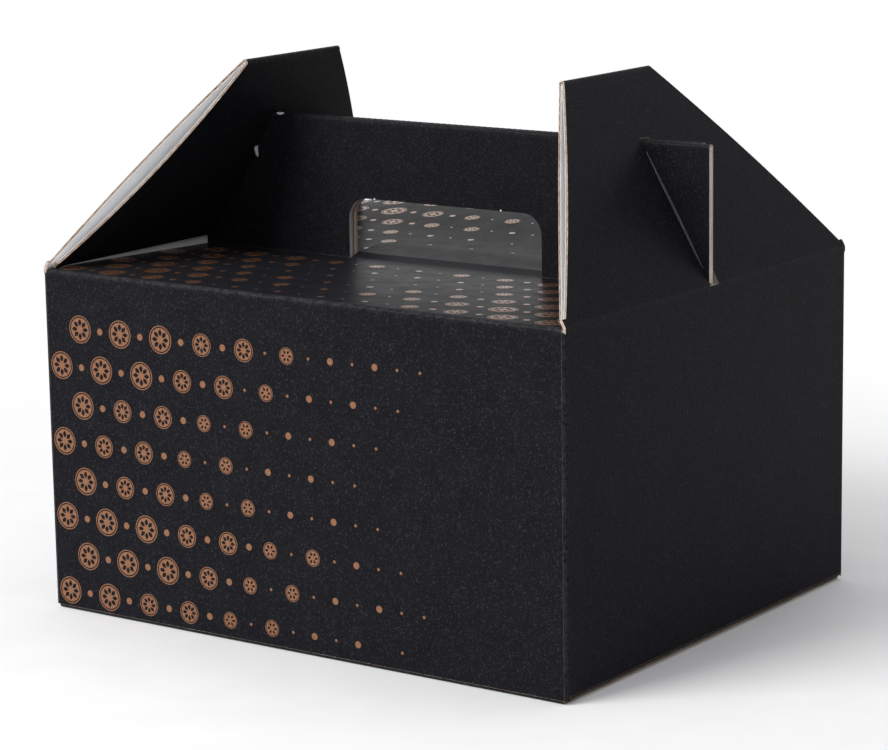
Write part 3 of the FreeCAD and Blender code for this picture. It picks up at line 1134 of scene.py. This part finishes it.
WALL_MARGIN = 10.0
wall_foot = front_path.nearest((-HALF_WIDTH + HALF_BOARD, WALL_MARGIN))
wall_head = front_path.nearest((-HALF_WIDTH + HALF_BOARD, WALL_HEIGHT - WALL_MARGIN))
panel_near = front_path.nearest((-HALF_WIDTH + HALF_BOARD + WALL_MARGIN, WALL_HEIGHT))
panel_far = front_path.nearest((-HANDLE_HALF - WALL_MARGIN, HANDLE_FOOT))
blanks = mark_blanks()


def wall_sizes(u, v):
    """Marks shrink from the left of a long wall to its bare right part."""
    across = (u + HALF_LENGTH) / (2 * HALF_LENGTH)
    drift = 0.10 * math.sin((v - wall_foot) / 52.0 * math.pi)
    return 1.02 - 1.35 * across + drift


def panel_sizes(u, v):
    across = (u + HALF_LENGTH) / (2 * HALF_LENGTH)
    drift = 0.12 * math.sin((v - panel_near) / 41.0 * math.pi)
    return 0.56 + 0.34 * math.cos(2.2 * math.pi * (across - 0.04)) + drift


marks = []
LATTICE = (25.5, 19.0)
for label, place in (("front", front_place), ("rear", rear_place)):
    area = ((-HALF_LENGTH + WALL_MARGIN, wall_foot), (HALF_LENGTH - WALL_MARGIN, wall_head))
    marks.append(print_marks(label + "_wall_print", place, area, LATTICE, wall_sizes, blanks, [copper]))
    area = ((-HALF_LENGTH + WALL_MARGIN, panel_near), (HALF_LENGTH - WALL_MARGIN, panel_far))
    marks.append(print_marks(label + "_panel_print", place, area, LATTICE, panel_sizes, blanks, [copper]))
for mark in marks:
    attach(mark, "carton")

kraft_board = paper("kraft_board", (0.30, 0.18, 0.09, 1), (0.44, 0.29, 0.16, 1), 0.85)
for node in ("front_divider", "rear_divider", "layer_board"):
    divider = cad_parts[node]
    if not divider.material_slots:
        divider.data.materials.append(kraft_board)
    for holder in divider.material_slots:
        holder.material = kraft_board

# Floor, light and camera

FLOOR_SIZE = 12.0
bpy.ops.mesh.primitive_plane_add(size=FLOOR_SIZE)
floor = bpy.context.object
floor.name = "floor"
floor.data.materials.append(floor_material())


def add_area_light(name, place, width, height, power):
    """Rectangular light that faces the object. Lengths in metres, power in watts."""
    data = bpy.data.lights.new(name, "AREA")
    data.shape = "RECTANGLE"
    data.size = width
    data.size_y = height
    data.energy = power
    lamp = bpy.data.objects.new(name, data)
    lamp.location = place
    lamp.rotation_euler = (LIGHT_TARGET - Vector(place)).to_track_quat("-Z", "Y").to_euler()
    bpy.context.scene.collection.objects.link(lamp)


LIGHT_TARGET = Vector((0, 0, 0.1))
add_area_light("key", (-0.9, -1.9, 1.5), 1.4, 1.0, 68.0)
add_area_light("fill", (1.9, -0.9, 1.2), 1.2, 1.2, 1.5)
add_area_light("top", (0.1, 0.3, 2.2), 1.8, 1.8, 12.0)

world = bpy.data.worlds.new("studio")
world.use_nodes = True
bpy.context.scene.world = world
sky_nodes = world.node_tree.nodes
sky_links = world.node_tree.links
background = sky_nodes["Background"]
sky_color = sky_nodes.new("ShaderNodeMix")
sky_color.data_type = "RGBA"
sky_color.inputs[6].default_value = (0.42, 0.42, 0.44, 1)
sky_color.inputs[7].default_value = (1, 1, 1, 1)
sky_links.new(seen_by_eye(sky_nodes, sky_links), sky_color.inputs[0])
sky_links.new(sky_color.outputs[2], background.inputs["Color"])
background.inputs["Strength"].default_value = 1.0

# Camera fitted to the photograph's corners, its place in lengths of the carton
UNIT = 2 * HALF_LENGTH * METRE
CAMERA_PLACE = Vector((2.98418, -4.17764, 1.42466)) * UNIT
LENS = 130.52
SENSOR_WIDTH = 36.0
AZIMUTH = math.radians(35.642)
ELEVATION = math.radians(11.6425)
ROLL = math.radians(-0.90176)
back = Vector((
    math.sin(AZIMUTH) * math.cos(ELEVATION),
    -math.cos(AZIMUTH) * math.cos(ELEVATION),
    math.sin(ELEVATION),
))
right = (-back).cross(Vector((0, 0, 1))).normalized()
up = right.cross(-back)
camera_x = math.cos(ROLL) * right + math.sin(ROLL) * up
camera_y = -math.sin(ROLL) * right + math.cos(ROLL) * up
camera_data = bpy.data.cameras.new("camera")
camera_data.lens = LENS
camera_data.sensor_width = SENSOR_WIDTH
camera = bpy.data.objects.new("camera", camera_data)
camera.matrix_world = Matrix((
    (camera_x.x, camera_y.x, back.x, CAMERA_PLACE.x),
    (camera_x.y, camera_y.y, back.y, CAMERA_PLACE.y),
    (camera_x.z, camera_y.z, back.z, CAMERA_PLACE.z),
    (0, 0, 0, 1),
))
bpy.context.scene.collection.objects.link(camera)
bpy.context.scene.camera = camera
bpy.context.scene.view_settings.view_transform = "Standard"
